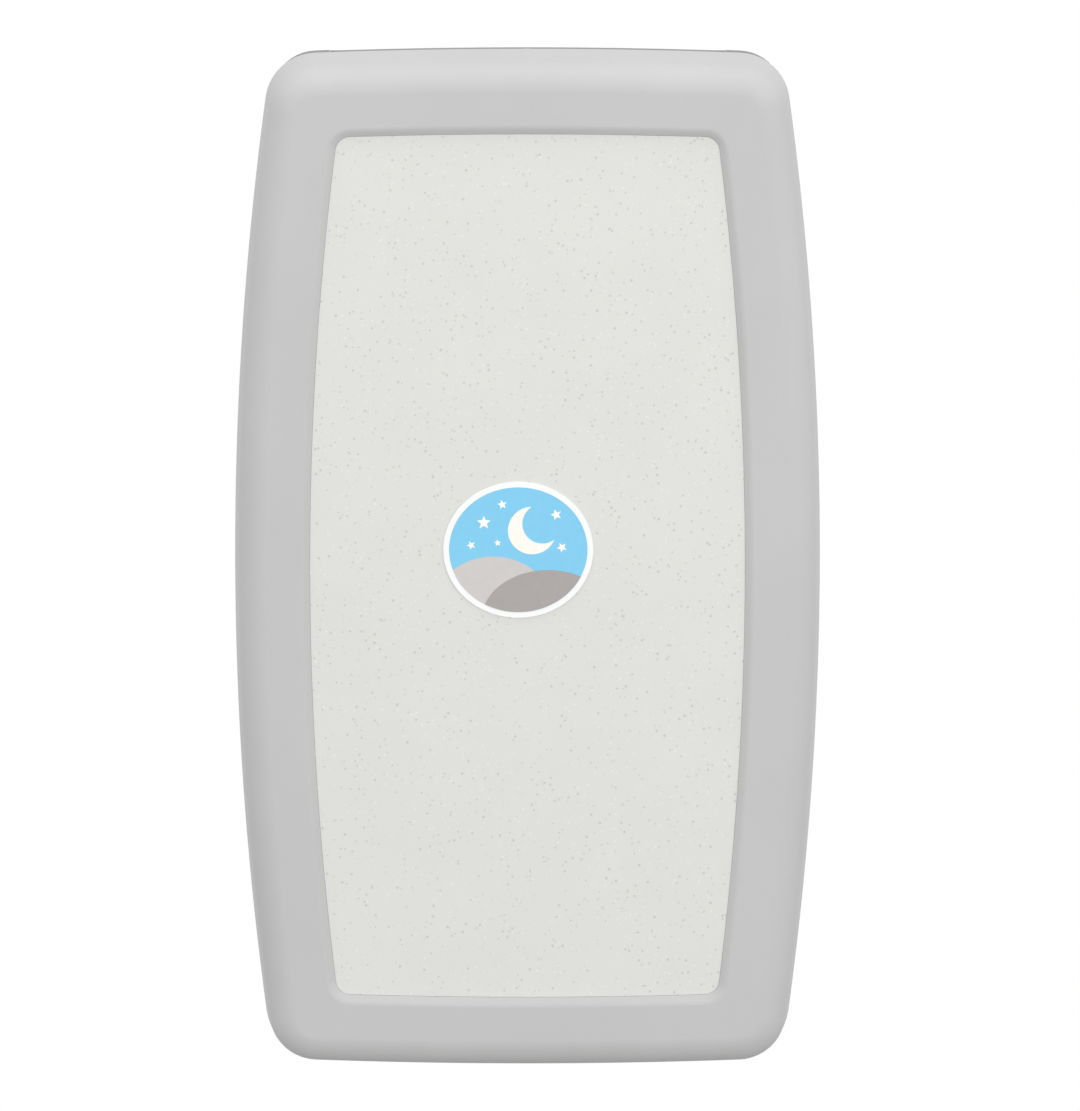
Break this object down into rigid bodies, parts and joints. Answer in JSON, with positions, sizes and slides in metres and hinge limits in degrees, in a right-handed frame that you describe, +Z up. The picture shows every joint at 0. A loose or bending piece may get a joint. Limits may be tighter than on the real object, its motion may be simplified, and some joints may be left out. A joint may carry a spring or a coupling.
{
  "type": "baby changing station",
  "caption": "Wall-hung baby changing station: bowed moulded bed with a recessed front panel folds down from a back shell on a steel hinge and gas strut, with strap, liner bins and bag hooks.",
  "frame": {"origin": "middle of the wall face, at mid height", "axes": "+Z up, +Y into the wall, -Y out of the front, +X to the viewer's right"},
  "size_m": [0.51, 0.102, 0.896],
  "materials": {
    "bed_plastic": "satin moulded polyethylene, fine grain",
    "back_plastic": "satin moulded polyethylene, fine grain",
    "panel_plastic": "pale solid panel with fine grey speckle",
    "badge_print": "printed film under a clear gloss",
    "zinc_steel": "bright zinc plate",
    "chrome_rod": "polished",
    "black_paint": "satin",
    "dark_plastic": "moulded, satin",
    "rubber": "matt",
    "webbing": "woven nylon webbing"
  },
  "bodies": {
    "back": {"arm_screw_left_1": "zinc_steel", "arm_screw_left_2": "zinc_steel", "arm_screw_right_1": "zinc_steel", "arm_screw_right_2": "zinc_steel", "back_shell": "back_plastic", "bag_hook_left": "dark_plastic", "bag_hook_right": "dark_plastic", "bottom_bar": "zinc_steel", "bumper_lower_left": "rubber", "bumper_lower_right": "rubber", "bumper_upper_left": "rubber", "bumper_upper_right": "rubber", "hinge_arm_left": "zinc_steel", "hinge_arm_right": "zinc_steel", "hinge_frame_leaf": "zinc_steel", "hinge_frame_screw_1": "zinc_steel", "hinge_frame_screw_2": "zinc_steel", "hinge_frame_screw_3": "zinc_steel", "hinge_rod": "zinc_steel", "hinge_rod_clip_left": "zinc_steel", "hinge_rod_clip_right": "zinc_steel", "liner_bin_left": "back_plastic", "liner_bin_right": "back_plastic", "middle_bar": "zinc_steel", "stop_pad_left": "rubber", "stop_pad_right": "rubber", "top_bar": "zinc_steel", "wall_rail_left": "zinc_steel", "wall_rail_right": "zinc_steel"},
    "bed": {"bed_shell": "bed_plastic", "bed_tray": "bed_plastic", "insert_panel": "panel_plastic", "badge_plate": "badge_print", "hinge_bed_leaf": "zinc_steel", "strut_bracket": "zinc_steel", "strut_upper_pin": "zinc_steel", "strap_short": "webbing", "strap_long": "webbing", "strap_anchor_left": "zinc_steel", "strap_anchor_right": "zinc_steel", "buckle_frame": "dark_plastic", "buckle_pin": "zinc_steel", "hinge_bed_screw_1": "zinc_steel", "hinge_bed_screw_2": "zinc_steel", "hinge_bed_screw_3": "zinc_steel", "tray_screw_1": "zinc_steel", "tray_screw_2": "zinc_steel", "tray_screw_3": "zinc_steel", "tray_screw_4": "zinc_steel", "tray_screw_5": "zinc_steel", "tray_screw_6": "zinc_steel"},
    "strut_cylinder": {"strut_cylinder": "black_paint"},
    "strut_rod": {"strut_rod": "chrome_rod", "strut_lower_pin": "zinc_steel"},
    "liner_lid": {"liner_lid": "back_plastic", "lid_pin_left": "zinc_steel", "lid_pin_right": "zinc_steel"},
    "lid_lock": {"lid_lock": "chrome_rod"},
    "buckle_lever": {"buckle_lever": "dark_plastic"}
  },
  "joints": [
    {"name": "bed_fold", "type": "hinge", "parent": "back", "child": "bed", "pos_m": [0, -0.03925, -0.42], "axis": [1, 0, 0], "range_deg": [0, 90]},
    {"name": "strut_swing", "type": "hinge", "parent": "bed", "child": "strut_cylinder", "pos_m": [-0.2001, -0.06525, -0.17], "axis": [1, 0, 0], "range_deg": [-0.5, 3.92]},
    {"name": "strut_extend", "type": "slide", "parent": "strut_cylinder", "child": "strut_rod", "axis": [0, 0.0207, -0.9998], "range_m": [-0.02801, 0.0005]},
    {"name": "lid_open", "type": "hinge", "parent": "back", "child": "liner_lid", "pos_m": [0, -0.007, 0.43709], "axis": [-1, 0, 0], "range_deg": [0, 90]},
    {"name": "lock_turn", "type": "hinge", "parent": "liner_lid", "child": "lid_lock", "pos_m": [0, -0.02, 0.4396], "axis": [0, 0, 1], "range_deg": [0, 90]},
    {"name": "buckle_release", "type": "hinge", "parent": "bed", "child": "buckle_lever", "pos_m": [0.023, -0.0665, 0.02], "axis": [0, 0, -1], "range_deg": [0, 25], "stiffness_Nm_per_rad": 0.15, "springref_deg": -20.05}
  ],
  "couplings": [
    {"joint": "strut_swing", "follows": "bed_fold", "ratio": 0.038012},
    {"joint": "strut_extend", "follows": "bed_fold", "m_per_rad": -0.017513}
  ]
}
